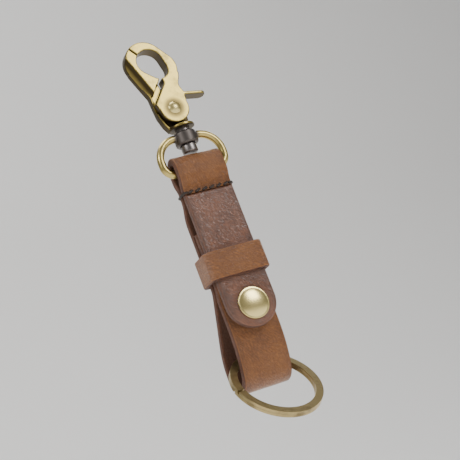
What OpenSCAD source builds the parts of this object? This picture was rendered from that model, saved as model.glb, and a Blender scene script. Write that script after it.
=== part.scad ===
// Leather keychain: a scissor snap hook on a swivel D-ring, a folded leather strap with a
// press-stud tongue and a sliding keeper, and a flat split key ring.
// Millimetres. The origin is the centre of the hook's eye, Z runs up along the swivel's axis,
// X across the strap, and the front of the strap faces -Y.

/* [Snap hook] */
// Thickness of the hook from front to back
hook_t = 5.2; // [4.4:0.2:6.4]
// Radius of the eye's upper, load-bearing arc
eye_r = 5.2; // [4.6:0.1:6.2]
// Radius of the eye's lower arc
eye_low_r = 3.9; // [3.3:0.1:4.4]
// Thickness of metal round the top of the eye
eye_wall = 2.8; // [2.2:0.1:3.6]
// Radius of the gate's round pivot lobe
lobe_r = 5.9; // [5.2:0.1:6.4]
// Radius of the rivet that the gate turns on
rivet_r = 1.25; // [1:0.05:1.5]
// Radius of the rivet's domed heads
rivet_head_r = 2.4; // [2:0.1:3]
// How far the thumb lever stands out past the lobe
lever_reach = 8.8; // [6:0.2:10]
// Thickness of the thumb lever
lever_t = 1.2; // [1:0.1:1.6]
// Radius of the round flange at the foot of the hook
flange_r = 5.1; // [4.6:0.1:6]
// Thickness of that flange
flange_t = 1.1; // [0.9:0.1:1.5]

/* [Swivel and D-ring] */
// Radius of the stud's shank
stud_r = 1.6; // [1.3:0.05:1.9]
// Radius of the stud's head below the boss
stud_head_r = 3.1; // [2.6:0.1:3.4]
// Height of the stud's head
stud_head_h = 3.2; // [2.4:0.1:3.4]
// Radius of the boss that turns on the stud
boss_r = 4.5; // [4:0.1:5]
// Height of the boss
boss_h = 5.1; // [4.4:0.1:5.6]
// Radius of the D-ring's round wire
wire_r = 1.5; // [1.2:0.1:1.8]
// Height of the D-ring between the centres of its top and bottom wires
dring_drop = 13.9; // [13.9:0.1:17]
// Radius of the D-ring's upper corners, to the centre of the wire
dring_top_r = 8.3; // [7:0.1:9]
// Radius of the D-ring's lower corners, to the centre of the wire
dring_low_r = 4.2; // [3:0.1:4.4]

/* [Strap] */
// Width of the strap
strap_w = 20; // [18:0.5:26]
// Thickness of the leather
leather_t = 2.8; // [2.3:0.1:3.3]
// From the D-ring's bar down to the row of stitches
stitch_drop = 8.6; // [8.6:0.2:14]
// From the D-ring's bar down to the keeper's top edge
keeper_drop = 32.8; // [32:0.4:44]
// From the keeper's lower edge down to the centre of the snap
snap_drop = 11.4; // [10:0.2:14]
// From the keeper's lower edge down to where the strap starts its bottom curve
curve_drop = 18.7; // [18:0.5:30]
// Radius of the slow curve at the bottom of the front leg
slow_r = 40; // [30:1:50]
// Angle that the slow curve turns through
slow_angle = 24; // [18:1:28]
// Radius of the bottom fold, to the middle of the leather
fold_r = 6.6; // [6:0.2:9]
// Radius of the back leg's first bend below the keeper
back_bend_r = 7; // [6:0.5:9]
// Radius of the back leg's second bend, down to the fold
back_slow_r = 21; // [18:0.5:22]
// From the row of stitches down to the tucked-in end of the strap
tuck_drop = 15.4; // [15:0.2:20]

/* [Keeper] */
// Height of the keeper
keeper_h = 10.8; // [8:0.2:13]
// Thickness of the keeper's leather
keeper_t = 1.8; // [1.4:0.1:2.2]
// Radius of the keeper's outer corners
keeper_corner_r = 2.6; // [2.3:0.1:3.4]

/* [Snap] */
// Radius of the snap's cap
cap_r = 6.1; // [5:0.05:7]
// Height of the cap above the leather
cap_h = 1.35; // [1.1:0.05:1.8]
// Space that the closed snap leaves between tongue and strap
snap_space = 1.85; // [1.8:0.05:2.4]
// Radius of the snap's socket under the tongue
socket_r = 4.3; // [4:0.1:5]
// Radius of the stud's flange on the strap
stud_flange_r = 3.5; // [3:0.1:3.6]
// Radius of the snap's knob
knob_r = 1.75; // [1.6:0.05:1.9]
// How far the snap sits to the right of the strap's middle
snap_off = 0.4; // [0:0.1:1]

/* [Key ring] */
// Outer diameter of the key ring
key_od = 34.8; // [34.8:0.4:40]
// Width of its flat band
key_band = 2.8; // [2.2:0.1:3.2]
// Thickness of its two coils together
key_t = 2.4; // [2:0.1:2.8]
// How far the ring leans forward at rest, in degrees
key_tilt = 36; // [30:1:40]
// How far the ring turns to the side at rest, in degrees
key_yaw = 13; // [0:1:14]

/* [Stitching] */
// Radius of the waxed thread
thread_r = 0.36; // [0.3:0.02:0.45]
// Number of stitches across the strap
stitches = 6; // [4:1:8]

/* [Hidden] */
$fn = 64;
slip = 0.05;        // running fit of the gate on its rivet and the boss on its stud
air = 0.15;         // space between pieces that lie on each other
loose = 0.3;        // space round leather that slides or a wire in a fold
back_air = 0.6;     // space between the tucked-in end and the back leg
slit = 0.2;         // narrow gap between the two jaws and between leather layers
eps = 0.01;

// hook: places in the front view, measured from the swivel's axis at the top of the boss
eye_x = -3.7;
eye_z = 29.8;
eye_low = [2.2, -3.6];                    // lower arc's centre, from the upper one
outer_r = eye_r + eye_wall;               // radius round the eye
outer_shift = [-1.4, 0.7];                // that circle's centre, from the eye's
right_r = outer_r - 0.8;                  // radius of the gate's right shoulder
right_shift = [2.9, -3.4];                // its centre, from the eye's
pivot = [2.9, -20.3];                     // gate's pivot, from the eye
plate_r = lobe_r - 0.3;                   // round plate behind the gate's lobe
hollow_r = 4;                             // hollow bevel on the jaw's left edge
hollow_out = 2.16;                        // its axis, outside the edge
hollow_ahead = 0.57;                      // and ahead of the front face
gate_sweep_r = 7.7;                       // reach of the gate's left corner about the pivot
lap = 0.15;                               // half of the gap between the plate and the lobe
pocket_r = rivet_r + 2.05;                // spring's pocket in the back of the lobe
pocket_t = 1.2;
coil_wire_r = 0.2;
coil_r = rivet_r + 1.15;
flange_top = 2.3;                         // top of the flange above the swivel's zero
boss_top = -0.5;
boss_bottom = boss_top - boss_h;
seam = [[-6.9, 7.2], [-4.0, 3.6]];        // where the jaws meet, outside to inside

// D-ring
wire_top = boss_top - 1.6;                // centre of the wire where it meets the boss
bar_z = wire_top - dring_drop;
dring_x = strap_w / 2 + 1.35 + wire_r;    // centre of the wire at the ring's side

// strap: levels down from the swivel, and the middle of each layer from front to back
fold_top_r = wire_r + loose + leather_t / 2;
fold_top_z = bar_z + 1.9;
stitch_z = bar_z - stitch_drop;
keeper_top = bar_z - keeper_drop;
keeper_bottom = keeper_top - keeper_h;
hinge_z = keeper_bottom - 0.7;            // where the tongue starts to bend
snap_z = keeper_bottom - snap_drop;
curve_z = keeper_bottom - curve_drop;
tuck_z = stitch_z - tuck_drop;
front_y = -(leather_t + 2 * slit) / 2;
tucked_y = front_y + leather_t + air;
back_y = tucked_y + leather_t + back_air;
under_y = front_y + leather_t + snap_space;
flat_top_z = snap_z + 3.6;                // top of the flat stretch that carries the snap
loop_y = under_y + fold_r * (1 + cos(slow_angle)) + slow_r * (1 - cos(slow_angle));
fold_z = curve_z - slow_r * sin(slow_angle) + fold_r * sin(slow_angle);
pinch = 0.8;                              // straight length above and below the stitches
front_face = front_y - leather_t / 2;
tip_r = strap_w / 2;
tip_z = snap_z + 1.2;                     // centre of the tongue's round end

// key ring: its centre, and the chord in the loop that it turns on
key_r = (key_od - key_band) / 2;
key_x = -1.7;
edge_sag = pow(strap_w / 2 - key_x, 2) / (2 * key_r);     // drop of the ring's arc at the strap's edge
key_pivot_y = (under_y + loop_y) / 2 + edge_sag * sin(key_tilt) - 0.6;
key_pivot_z = fold_z + edge_sag * cos(key_tilt) + 0.7;

// ---------- shared shapes ----------

function unit(a) = [cos(a), sin(a)];

// Four tangent points of two circles
function tangents(c1, r1, c2, r2) =
    let (d = c2 - c1, a = atan2(d[1], d[0]), t = acos((r1 - r2) / norm(d)))
    [c1 + r1 * unit(a + t), c2 + r2 * unit(a + t), c2 + r2 * unit(a - t), c1 + r1 * unit(a - t)];

// Two circles and the straight flanks between them
module twin_circle(c1, r1, c2, r2) {
    translate(c1) circle(r1);
    translate(c2) circle(r2);
    polygon(tangents(c1, r1, c2, r2));
}

// A front-view outline given its thickness from y0 to y1
module front_view(y0, y1)
    translate([0, y1, 0]) rotate([90, 0, 0]) linear_extrude(y1 - y0) children();

// A round bar along Y from y0 to y1
module y_bar(r, y0, y1)
    translate([0, y1, 0]) rotate([90, 0, 0]) cylinder(r = r, h = y1 - y0);

// A shallow dome on the -Y side of the plane y
module y_dome(r, h, y) {
    ball = (r * r + h * h) / (2 * h);
    translate([0, y, 0]) rotate([90, 0, 0]) rotate_extrude($fn = 96) intersection() {
        translate([0, h - ball]) circle(ball, $fn = 360);
        square([r, h]);
    }
}

// Places measured from the swivel's axis, and from the middle of the snap
module at_swivel() translate([-eye_x, 0, -eye_z]) children();
module at_snap() at_swivel() translate([snap_off, 0, snap_z]) children();
module at_pivot() translate([pivot[0], 0, pivot[1]]) children();

// ---------- snap hook ----------

module eye_outline() twin_circle([0, 0], eye_r, eye_low, eye_low_r);

module head_outline() twin_circle(outer_shift, outer_r, right_shift, right_r);

// Fixed left jaw in the front view
module jaw_outline() {
    difference() {
        intersection() {
            union() {
                head_outline();
                polygon([[-8.9, -2.6], [-6.9, -7.7], [-4.6, -13.2], [-3.0, -13.3], [2, -6], [-2, 0]]);
            }
            polygon([[0, 0], seam[1], seam[0], [-10, 11], [-14, 10], [-14, -1],
                [-9.6, -2], [-8.2, -5.2], [-6.6, -8.6], [-4.6, -13.2], [-3.0, -13.3],
                [0.8, -8.4], [1.2, -7.4], [1.9, -6.2]]);
        }
        eye_outline();
    }
}

// Hollow bevel down the front of the jaw's left edge
module jaw_hollow()
    translate([-9.3, 0, -1]) rotate([0, -21, 0]) translate([-hollow_out, -hook_t / 2 - hollow_ahead, -15])
        cylinder(r = hollow_r, h = 24, $fn = 96);

// Plate behind the gate, from the jaw down to the flange
module plate_outline() {
    foot = flange_top - eye_z - flange_t;
    difference() {
        union() {
            translate(pivot) circle(plate_r);
            polygon([[-8.9, -2.6], [-6.9, -7.7], [-4.5, -13.5], [-4.3, -17.2], [-3.9, -22.2],
                [-2.6, -26.2], [-1.2, foot], [7.2, foot], [7.9, -24.0], pivot, [0.9, -7.9], [-1, -5.5]]);
        }
        eye_outline();
    }
}

// Narrow raised rim that runs down the plate's left edge
module rim_outline()
    polygon([[-6.2, -9.4], [-4.5, -13.5], [-4.3, -17.2], [-3.9, -22.2], [-2.6, -26.2], [-1.7, -28.0],
        [-0.9, -27.2], [-1.8, -25.6], [-3.0, -22.2], [-3.4, -17.4], [-3.7, -13.6]]);

module hook_body() {
    color("goldenrod") {
        difference() {
            union() {
                difference() {
                    front_view(-hook_t / 2, hook_t / 2) jaw_outline();
                    jaw_hollow();
                }
                front_view(lap, hook_t / 2) plate_outline();
                front_view(-0.7, lap + eps) difference() {
                    rim_outline();
                    translate(pivot) circle(lobe_r + 0.25);
                    intersection() {
                        translate(pivot) circle(gate_sweep_r);
                        translate([-12, pivot[1] - 0.5]) square([12, 12]);
                    }
                }
                at_swivel() translate([0, 0, flange_top - flange_t]) cylinder(r = flange_r, h = flange_t);
            }
            at_pivot() y_bar(rivet_r, -hook_t, hook_t);
            at_pivot() translate([-coil_r, 0, 0]) y_bar(0.3, 0, 1.4);
            at_swivel() translate([0, 0, -1]) cylinder(r = stud_r, h = 5);
            at_swivel() translate([0, 0, flange_top]) cylinder(r = stud_r + 0.7, h = 0.8);
        }
    }
}

// Moving right jaw in the front view, with the pivot lobe
module gate_outline() {
    difference() {
        union() {
            intersection() {
                head_outline();
                polygon([[0.4, 0.2], seam[1] + [slit, slit], seam[0] + [slit, slit],
                    [-9.6, 11.2], [12, 12], [12, -12], [2.5, -9.0], [2.1, -6.6]]);
            }
            polygon([[2.1, -6.6], [9.9, -6.4], [9.2, -8.6], [8.2, -10.6], [8.0, -11.9], [8.9, -14.4],
                [8.7, -18.6], pivot, [-3.3, -20.0], [-3.9, -17.6], [2.5, -9.7]]);
            translate(pivot) circle(lobe_r);
        }
        eye_outline();
    }
}

// Part of the gate that may be as thick as the whole hook: clear of the plate and the jaw
module gate_thick_outline() {
    difference() {
        gate_outline();
        translate(pivot) circle(plate_r + 0.3);
        polygon([pivot, [9, -26.5], [-8, -26.5], [-8, -8], [0.6, -6.6], [1.3, -7.9]]);
    }
}

// Thumb lever: a rounded tab that stands square to the hook's face
module lever() {
    root = [6.4, -15.5];
    length = lever_reach + 2.4;
    corner = hook_t / 2 - 0.6;
    translate([root[0], 0, root[1]]) rotate([0, 8, 0]) linear_extrude(lever_t) {
        translate([0, -hook_t / 2]) square([length - corner, hook_t]);
        for (side = [-1, 1]) translate([length - corner, side * (hook_t / 2 - corner)]) circle(corner);
        translate([length - corner, -hook_t / 2 + corner]) square([corner, hook_t - 2 * corner]);
    }
}

module hook_gate() {
    color("goldenrod") {
        difference() {
            union() {
                front_view(-hook_t / 2, -lap) gate_outline();
                front_view(-lap - eps, hook_t / 2) gate_thick_outline();
                difference() {
                    lever();
                    at_pivot() y_bar(plate_r + 0.3, -lap, hook_t);
                }
            }
            at_pivot() y_bar(rivet_r + slip, -hook_t, hook_t);
            at_pivot() y_bar(pocket_r, -lap - pocket_t, 0);
        }
    }
}

module gate_rivet() {
    color("khaki") at_pivot() {
        y_bar(rivet_r, -hook_t / 2 - 0.3, hook_t / 2 + 0.3);
        y_dome(rivet_head_r, 0.9, -hook_t / 2 - slip);
        mirror([0, 1, 0]) y_dome(rivet_head_r, 0.6, -hook_t / 2);
    }
}

// Torsion spring round the rivet: two turns, one leg into the plate, one against the lobe
module gate_spring() {
    color("dimgray") at_pivot() {
        for (turn = [0, 1])
            translate([0, -lap - 0.35 - turn * 0.38, 0]) rotate([90, 0, 0])
                rotate_extrude() translate([coil_r, 0]) circle(coil_wire_r, $fn = 16);
        translate([-coil_r, 0, 0]) y_bar(coil_wire_r, -lap - 0.35, 1.2);
        translate([coil_r - 0.1, -lap - 0.35 - 0.38, 0]) rotate([0, 90, 0]) cylinder(r = coil_wire_r, h = 0.85);
    }
}

// ---------- swivel ----------

module swivel_stud() {
    color("dimgray") at_swivel() {
        translate([0, 0, boss_bottom - air - eps]) cylinder(r = stud_r, h = flange_top - boss_bottom + air + 2 * eps);
        translate([0, 0, flange_top]) cylinder(r1 = stud_r + 0.6, r2 = stud_r + 0.1, h = 0.6);
        translate([0, 0, boss_top + slip]) cylinder(r = stud_r + 1.2, h = flange_top - flange_t - boss_top - slip);
        translate([0, 0, boss_bottom - air - stud_head_h + 0.5]) cylinder(r = stud_head_r, h = stud_head_h - 0.5);
        translate([0, 0, boss_bottom - air - stud_head_h])
            cylinder(r1 = stud_head_r - 0.5, r2 = stud_head_r, h = 0.5);
    }
}

// Quarter bend of the D-ring's wire about a centre, from one angle to another
module wire_bend(x, z, r, start, sweep)
    translate([x, 0, z]) rotate([90, 0, 0]) rotate([0, 0, start])
        rotate_extrude(angle = sweep) translate([r, 0]) circle(wire_r);

// Straight length of that wire
module wire_run(x, z, length, along_x)
    translate([x, 0, z]) rotate(along_x ? [0, 90, 0] : [0, 0, 0]) cylinder(r = wire_r, h = length);

module dring() {
    top_c = [dring_x - dring_top_r, wire_top - dring_top_r];
    low_c = [dring_x - dring_low_r, bar_z + dring_low_r];
    color("darkgoldenrod") at_swivel() {
        difference() {
            union() {
                translate([0, 0, boss_bottom + 0.5]) cylinder(r = boss_r, h = boss_h - 1);
                translate([0, 0, boss_top - 0.5]) cylinder(r1 = boss_r, r2 = boss_r - 0.5, h = 0.5);
                translate([0, 0, boss_bottom]) cylinder(r1 = boss_r - 0.5, r2 = boss_r, h = 0.5);
                wire_run(-top_c[0], wire_top, 2 * top_c[0], true);
            }
            translate([0, 0, boss_bottom - 1]) cylinder(r = stud_r + slip, h = boss_h + 2);
        }
        for (side = [0, 1]) mirror([side, 0, 0]) {
            wire_bend(top_c[0], top_c[1], dring_top_r, 0, 90);
            wire_run(dring_x, low_c[1], top_c[1] - low_c[1], false);
            wire_bend(low_c[0], low_c[1], dring_low_r, -90, 90);
        }
        wire_run(-low_c[0], bar_z, 2 * low_c[0], true);
    }
}

// ---------- strap ----------

// A strip is a list of steps in the side view: [length, 0] runs straight and
// [radius, angle] bends, to the right of its heading where the angle is positive.
function s_bend(offset, length) =
    let (a = 2 * atan(offset / length), r = length / (2 * sin(abs(a))))
    [[r, -a], [r, a]];

// Two bends with a straight between them, for a large offset to the left
function long_s_bend(offset, length, r1, r2) =
    let (r = r1 + r2,
         over = offset - r,
         run = sqrt(length * length + over * over - r * r),
         a = atan2(r * length + run * over, run * length - r * over))
    [[r1, -a], [run, 0], [r2, a]];

// Points along the middle of the strip, each with its heading
facet = 4;
function arc_points(at, heading, r, a) =
    let (side = a > 0 ? 90 : -90, centre = at - r * unit(heading + side), n = ceil(abs(a) / facet))
    [for (i = [1:n]) [centre + r * unit(heading + side - a * i / n), heading - a * i / n]];
function strip_points(steps, at, heading, n = 0) =
    n == len(steps) ? [] :
    let (size = steps[n][0], a = steps[n][1],
         added = a == 0 ? [[at + size * unit(heading), heading]] : arc_points(at, heading, size, a),
         last = added[len(added) - 1])
    concat(added, strip_points(steps, last[0], last[1], n + 1));

// A strip of leather across the strap's width, from its start and first heading
module strip(steps, at, heading) {
    middle = concat([[at, heading]], strip_points(steps, at, heading));
    left = [for (p = middle) p[0] + leather_t / 2 * unit(p[1] + 90)];
    right = [for (i = [len(middle) - 1:-1:0]) middle[i][0] - leather_t / 2 * unit(middle[i][1] + 90)];
    translate([-strap_w / 2, 0, 0]) rotate([90, 0, 90]) linear_extrude(strap_w) polygon(concat(left, right));
}

// Front leg up, over the bar, down the back, round the bottom and up under the tongue
strap_steps = concat(
    [[stitch_z + pinch - hinge_z, 0]],
    s_bend(fold_top_r + front_y, fold_top_z - 3.6 - stitch_z - pinch),
    [[3.6, 0], [fold_top_r, 180], [3.6, 0]],
    s_bend(-(fold_top_r + front_y), fold_top_z - 3.6 - stitch_z - pinch),
    [[2 * pinch, 0]],
    s_bend(back_y + front_y, 10.5),
    [[stitch_z - pinch - 10.5 - hinge_z, 0]],
    long_s_bend(loop_y - back_y, hinge_z - fold_z, back_bend_r, back_slow_r),
    [[fold_r, 180 - slow_angle], [slow_r, slow_angle]],
    [[flat_top_z - curve_z, 0]],
    s_bend(under_y - tucked_y, hinge_z - flat_top_z),
    [[tuck_z - hinge_z, 0]]
);

module strap() {
    color("saddlebrown") at_swivel() difference() {
        strip(strap_steps, [front_y, hinge_z], 90);
        for (i = [0:stitches]) translate([stitch_x(i), 0, stitch_z]) y_bar(thread_r + 0.08, -5, 5);
        translate([snap_off, 0, snap_z]) y_bar(snap_hole_r, under_y - leather_t, under_y + leather_t);
    }
}

module tongue() {
    color("sienna") at_swivel() difference() {
        front_view(front_face, front_face + leather_t) intersection() {
            union() {
                translate([-strap_w / 2, tip_z]) square([strap_w, 2 * tip_r]);
                translate([0, tip_z]) circle(tip_r, $fn = 96);
            }
            translate([-strap_w, hinge_z - slip - 2 * strap_w]) square([2 * strap_w, 2 * strap_w]);
        }
        translate([snap_off, 0, snap_z]) y_bar(snap_hole_r, -6, 3);
    }
}

// ---------- stitching ----------

stitch_pitch = (strap_w - 2.4) / stitches;
function stitch_x(i) = (i - stitches / 2) * stitch_pitch;
thread_y = front_face - thread_r - 0.02;
thread_x = strap_w / 2 + thread_r + 0.02;

// One thread line across a face, a pass through each hole, and a turn round each edge
module stitching() {
    color("#33241c") at_swivel() translate([0, 0, stitch_z]) {
        for (side = [-1, 1]) {
            translate([-thread_x, side * thread_y, 0]) rotate([0, 90, 0]) cylinder(r = thread_r, h = 2 * thread_x);
            translate([side * thread_x, 0, 0]) y_bar(thread_r, thread_y, -thread_y);
            for (end = [-1, 1]) translate([side * thread_x, end * thread_y, 0]) sphere(thread_r);
        }
        for (i = [0:stitches]) translate([stitch_x(i), 0, 0]) y_bar(thread_r - 0.02, thread_y, -thread_y);
    }
}

// ---------- keeper ----------

module round_rect(x, y0, y1, r) {
    translate([-x + r, y0]) square([2 * (x - r), y1 - y0]);
    translate([-x, y0 + r]) square([2 * x, y1 - y0 - 2 * r]);
    for (px = [-x + r, x - r], py = [y0 + r, y1 - r]) translate([px, py]) circle(r);
}

keeper_in_r = 0.3;
keeper_in_x = strap_w / 2 + loose;
keeper_in_front = front_face - loose;
keeper_in_back = back_y + leather_t / 2 + loose;
keeper_back = keeper_in_back + keeper_t;

module keeper() {
    color("saddlebrown") at_swivel() translate([0, 0, keeper_bottom]) difference() {
        linear_extrude(keeper_h) difference() {
            round_rect(keeper_in_x + keeper_t, keeper_in_front - keeper_t, keeper_back, keeper_corner_r);
            round_rect(keeper_in_x, keeper_in_front, keeper_in_back, keeper_in_r);
            translate([-slit / 2, keeper_in_back - 1]) square([slit, keeper_t + 2]);
        }
        for (row = [-1, 1], side = [-1, 1])
            translate([side * 1.6, 0, keeper_h / 2 + row * keeper_h / 4]) y_bar(thread_r + 0.08, 0, keeper_back + 1);
    }
}

// Two stitches that close the keeper's butt joint at the back
module keeper_stitches() {
    color("#33241c") at_swivel()
        for (row = [-1, 1]) translate([0, 0, keeper_bottom + keeper_h / 2 + row * keeper_h / 4]) {
            for (side = [-1, 1]) translate([side * 1.6, 0, 0])
                y_bar(thread_r - 0.02, keeper_in_back + 0.05, keeper_back + thread_r);
            translate([-1.6, keeper_back + thread_r + 0.02, 0]) rotate([0, 90, 0])
                cylinder(r = thread_r, h = 3.2);
            for (side = [-1, 1]) translate([side * 1.6, keeper_back + thread_r + 0.02, 0]) sphere(thread_r);
        }
}

// ---------- snap ----------

snap_hole_r = 1.8;
post_r = snap_hole_r - 0.1;
tongue_back = front_face + leather_t;
under_face = under_y - leather_t / 2;
under_back = under_y + leather_t / 2;
socket_h = snap_space - 0.7;

// Domed cap with the post that goes through the tongue and is rolled over in the socket
module snap_cap() {
    color("#e3d8a8") at_snap() {
        y_bar(cap_r, front_face - 0.45, front_face);
        y_dome(cap_r, cap_h - 0.45, front_face - 0.45);
        y_bar(post_r, front_face - 0.2, tongue_back + 0.14);
        y_bar(post_r + 0.4, tongue_back + 0.14, tongue_back + 0.24);
    }
}

module snap_socket() {
    color("darkkhaki") at_snap() difference() {
        y_bar(socket_r, tongue_back, tongue_back + socket_h);
        y_bar(knob_r + 1, tongue_back + 0.14, tongue_back + socket_h + 1);
        y_bar(post_r, tongue_back - 1, tongue_back + 1);
    }
}

// Ring spring that grips the knob in the socket
module snap_spring() {
    color("silver") at_snap() translate([0, tongue_back + socket_h - 0.35, 0]) rotate([90, 0, 0])
        rotate_extrude(angle = 330) translate([knob_r + 0.72, 0]) circle(0.22, $fn = 16);
}

module snap_stud() {
    color("darkkhaki") at_snap() difference() {
        union() {
            y_bar(stud_flange_r, under_face - 0.5, under_face);
            y_bar(knob_r - 0.15, tongue_back + 0.54, under_face);
            y_bar(knob_r, tongue_back + 0.62, tongue_back + 0.92);
        }
        y_bar(0.8, tongue_back + 0.8, under_face + 1);
    }
}

// Rolled post that holds the stud from the back of the strap
module snap_post() {
    color("darkkhaki") at_snap() {
        y_bar(post_r, under_face, under_back);
        y_bar(0.8, tongue_back + 0.8, under_face + eps);
        y_bar(stud_flange_r - 0.2, under_back, under_back + 0.45);
    }
}

// ---------- key ring ----------

// A flat band of some width from y0 to y1, over some of the ring's circle
module band_arc(start, sweep, wide, y0, y1)
    rotate([90, 0, 0]) rotate([0, 0, start]) rotate_extrude(angle = sweep, $fn = 128)
        translate([key_r - wide / 2, -y1]) square([wide, y1 - y0]);

// Flat split ring of two coils that join over a short stretch, with both ends open
module key_ring() {
    join = 172;
    wide = key_band + 1;
    color("darkgoldenrod") at_swivel() translate([key_x, key_pivot_y, key_pivot_z])
        rotate([-key_tilt, 0, key_yaw]) translate([0, 0, -key_r]) difference() {
            band_arc(0, 360, key_band, -key_t / 2, key_t / 2);
            band_arc(join + 5.5, 354, wide, -0.04, 0.04);
            band_arc(join - 3, 3, wide, 0, key_t);
            band_arc(join + 5, 3, wide, -key_t, 0);
        }
}

hook_body();
hook_gate();
gate_rivet();
gate_spring();
swivel_stud();
dring();
strap();
tongue();
stitching();
keeper();
keeper_stitches();
snap_cap();
snap_socket();
snap_spring();
snap_stud();
snap_post();
key_ring();
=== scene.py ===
"""A leather keychain: snap hook, swivel D-ring, folded strap, snap tongue, keeper and split ring."""

import logging
import math
from dataclasses import dataclass, field
from enum import Enum
from typing import Any, Callable, Sequence

import bmesh
import bpy
from mathutils import Matrix, Vector, noise
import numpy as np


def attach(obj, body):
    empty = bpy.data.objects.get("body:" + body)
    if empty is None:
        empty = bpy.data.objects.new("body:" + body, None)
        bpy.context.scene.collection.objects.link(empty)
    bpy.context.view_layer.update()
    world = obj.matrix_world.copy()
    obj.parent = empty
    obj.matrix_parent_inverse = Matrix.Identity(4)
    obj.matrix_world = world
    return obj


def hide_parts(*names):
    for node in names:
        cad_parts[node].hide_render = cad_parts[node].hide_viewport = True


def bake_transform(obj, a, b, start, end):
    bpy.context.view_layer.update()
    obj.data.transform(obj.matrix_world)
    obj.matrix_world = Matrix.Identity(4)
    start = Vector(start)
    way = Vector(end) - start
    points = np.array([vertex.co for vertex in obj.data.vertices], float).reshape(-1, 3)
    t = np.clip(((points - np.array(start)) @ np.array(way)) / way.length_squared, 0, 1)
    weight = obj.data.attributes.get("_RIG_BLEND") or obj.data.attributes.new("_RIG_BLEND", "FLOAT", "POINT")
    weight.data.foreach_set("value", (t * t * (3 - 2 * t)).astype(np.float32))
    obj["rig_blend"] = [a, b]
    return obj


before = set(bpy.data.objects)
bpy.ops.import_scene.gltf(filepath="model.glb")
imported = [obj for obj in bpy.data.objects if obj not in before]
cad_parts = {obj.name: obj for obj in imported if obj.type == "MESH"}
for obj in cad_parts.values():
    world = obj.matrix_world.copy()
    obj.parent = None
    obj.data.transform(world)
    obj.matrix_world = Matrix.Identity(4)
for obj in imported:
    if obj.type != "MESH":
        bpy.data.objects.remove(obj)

MM = 0.001
LOG = logging.getLogger("keychain")
Colour = tuple[float, float, float]

# The swivel's and the rivet's places, in metres, and where the front leather's pattern starts.
SWIVEL_X = 0.0037
RIVET_X, RIVET_Z = 0.0029, -0.0203
FRONT_PATTERN = 37.0


# ---------------------------------------------------------------- shader maths


class Signal:
    """One output socket of a material, with arithmetic that adds Math nodes."""

    def __init__(self, board: "Board", socket: bpy.types.NodeSocket) -> None:
        """Wraps a socket.

        Args:
            board: The material's node board.
            socket: The output that carries the value.
        """
        self.board = board
        self.socket = socket

    def math(self, operation: str, *others: Any, first: Any = None) -> "Signal":
        """Adds one Math node.

        Args:
            operation: The node's operation.
            others: The values after this one.
            first: A value that takes this one's place as the first input.

        Returns:
            The node's result.
        """
        values = [first, self] if first is not None else [self, *others]
        made = self.board.node("ShaderNodeMath", {"operation": operation}, dict(enumerate(values)))
        return Signal(self.board, made.outputs[0])

    def __add__(self, other: Any) -> "Signal":
        """This value plus another."""
        return self.math("ADD", other)

    def __sub__(self, other: Any) -> "Signal":
        """This value minus another."""
        return self.math("SUBTRACT", other)

    def __mul__(self, other: Any) -> "Signal":
        """This value times another."""
        return self.math("MULTIPLY", other)

    def __truediv__(self, other: Any) -> "Signal":
        """This value over another."""
        return self.math("DIVIDE", other)

    def __pow__(self, other: Any) -> "Signal":
        """This value to a power."""
        return self.math("POWER", other)

    def __radd__(self, other: Any) -> "Signal":
        """A number plus this value."""
        return self.math("ADD", first=other)

    def __rsub__(self, other: Any) -> "Signal":
        """A number minus this value."""
        return self.math("SUBTRACT", first=other)

    def __rmul__(self, other: Any) -> "Signal":
        """A number times this value."""
        return self.math("MULTIPLY", first=other)

    def __rtruediv__(self, other: Any) -> "Signal":
        """A number over this value."""
        return self.math("DIVIDE", first=other)

    def __abs__(self) -> "Signal":
        """This value without its sign."""
        return self.math("ABSOLUTE")

    def at_least(self, other: Any) -> "Signal":
        """The larger of this value and another."""
        return self.math("MAXIMUM", other)

    def ramp(self, low: float, high: float) -> "Signal":
        """Rises smoothly from 0 at low to 1 at high.

        Args:
            low: The value that gives 0.
            high: The value that gives 1, which may be the smaller of the two.

        Returns:
            A value from 0 to 1.
        """
        flip = high < low
        made = self.board.node(
            "ShaderNodeMapRange",
            {"interpolation_type": "SMOOTHSTEP"},
            {"Value": self, "From Min": min(low, high), "From Max": max(low, high)},
        )
        out = Signal(self.board, made.outputs["Result"])
        return 1.0 - out if flip else out


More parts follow.
